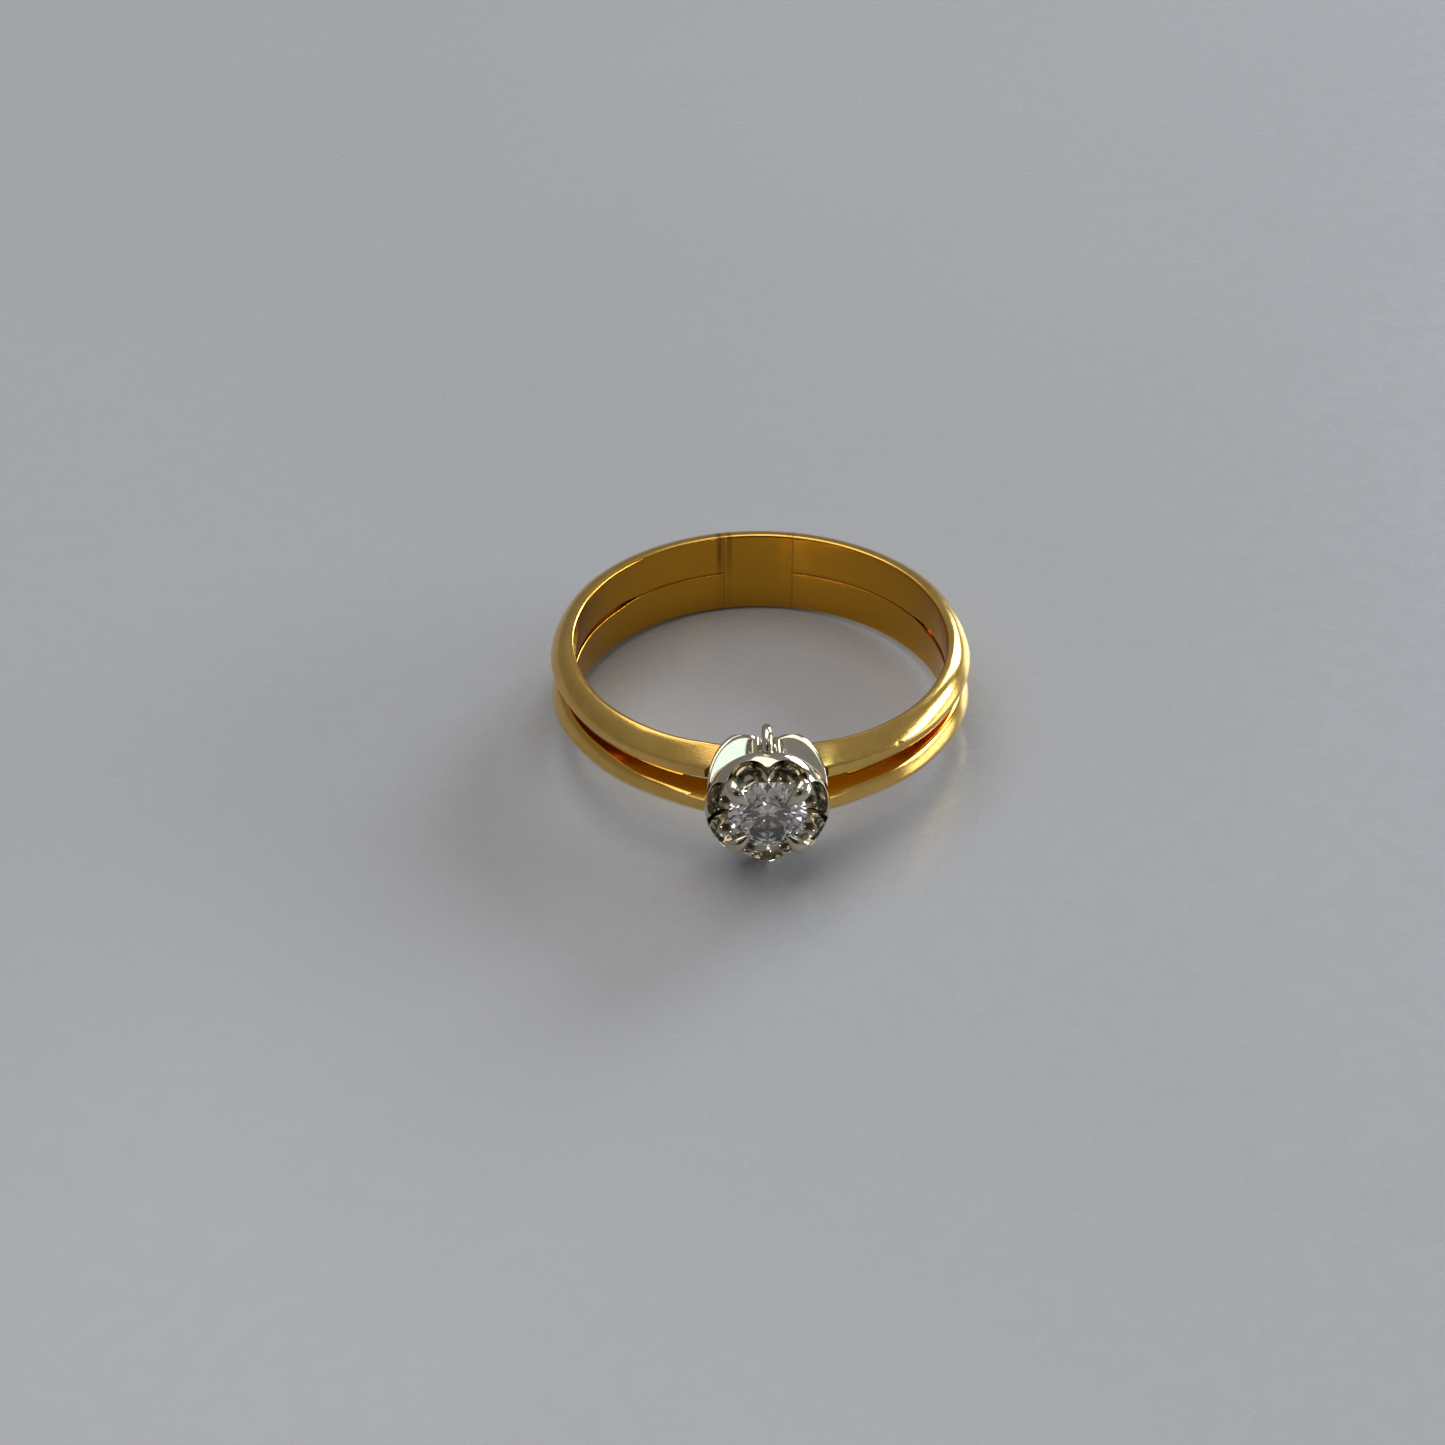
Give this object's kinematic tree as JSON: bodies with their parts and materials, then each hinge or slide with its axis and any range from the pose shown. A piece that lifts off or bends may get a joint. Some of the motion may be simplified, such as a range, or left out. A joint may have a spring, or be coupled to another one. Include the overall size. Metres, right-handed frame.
{
  "type": "engagement ring",
  "caption": "Split-shank engagement ring of joined half-round rails, with a round brilliant held by claws in a scalloped illusion bowl on a lobed cup.",
  "frame": {"origin": "centre of the finger hole, on the middle plane between the two rails", "axes": "+Z along the finger hole, the head and its stone point to -Y, +X to the right of somebody who looks at the stone"},
  "size_m": [0.0192, 0.0212, 0.007],
  "materials": {
    "yellow_gold": "polished, worn",
    "gold_solder": "polished",
    "white_gold": "polished",
    "diamond": "cut and polished"
  },
  "bodies": {
    "root": {"rail_upper_left": "yellow_gold", "rail_upper_right": "yellow_gold", "rail_lower_left": "yellow_gold", "rail_lower_right": "yellow_gold", "sizing_piece": "yellow_gold", "seam_solder_left": "gold_solder", "seam_solder_right": "gold_solder", "joint_solder_left": "gold_solder", "joint_solder_right": "gold_solder", "base_cup": "white_gold", "collet": "white_gold", "illusion_bowl": "white_gold", "claw_upper_left": "white_gold", "claw_upper_right": "white_gold", "claw_lower_left": "white_gold", "claw_lower_right": "white_gold", "gallery_loop_upper": "white_gold", "gallery_loop_lower": "white_gold", "gallery_posts_upper": "white_gold", "gallery_posts_lower": "white_gold", "diamond": "diamond"}
  },
  "joints": []
}
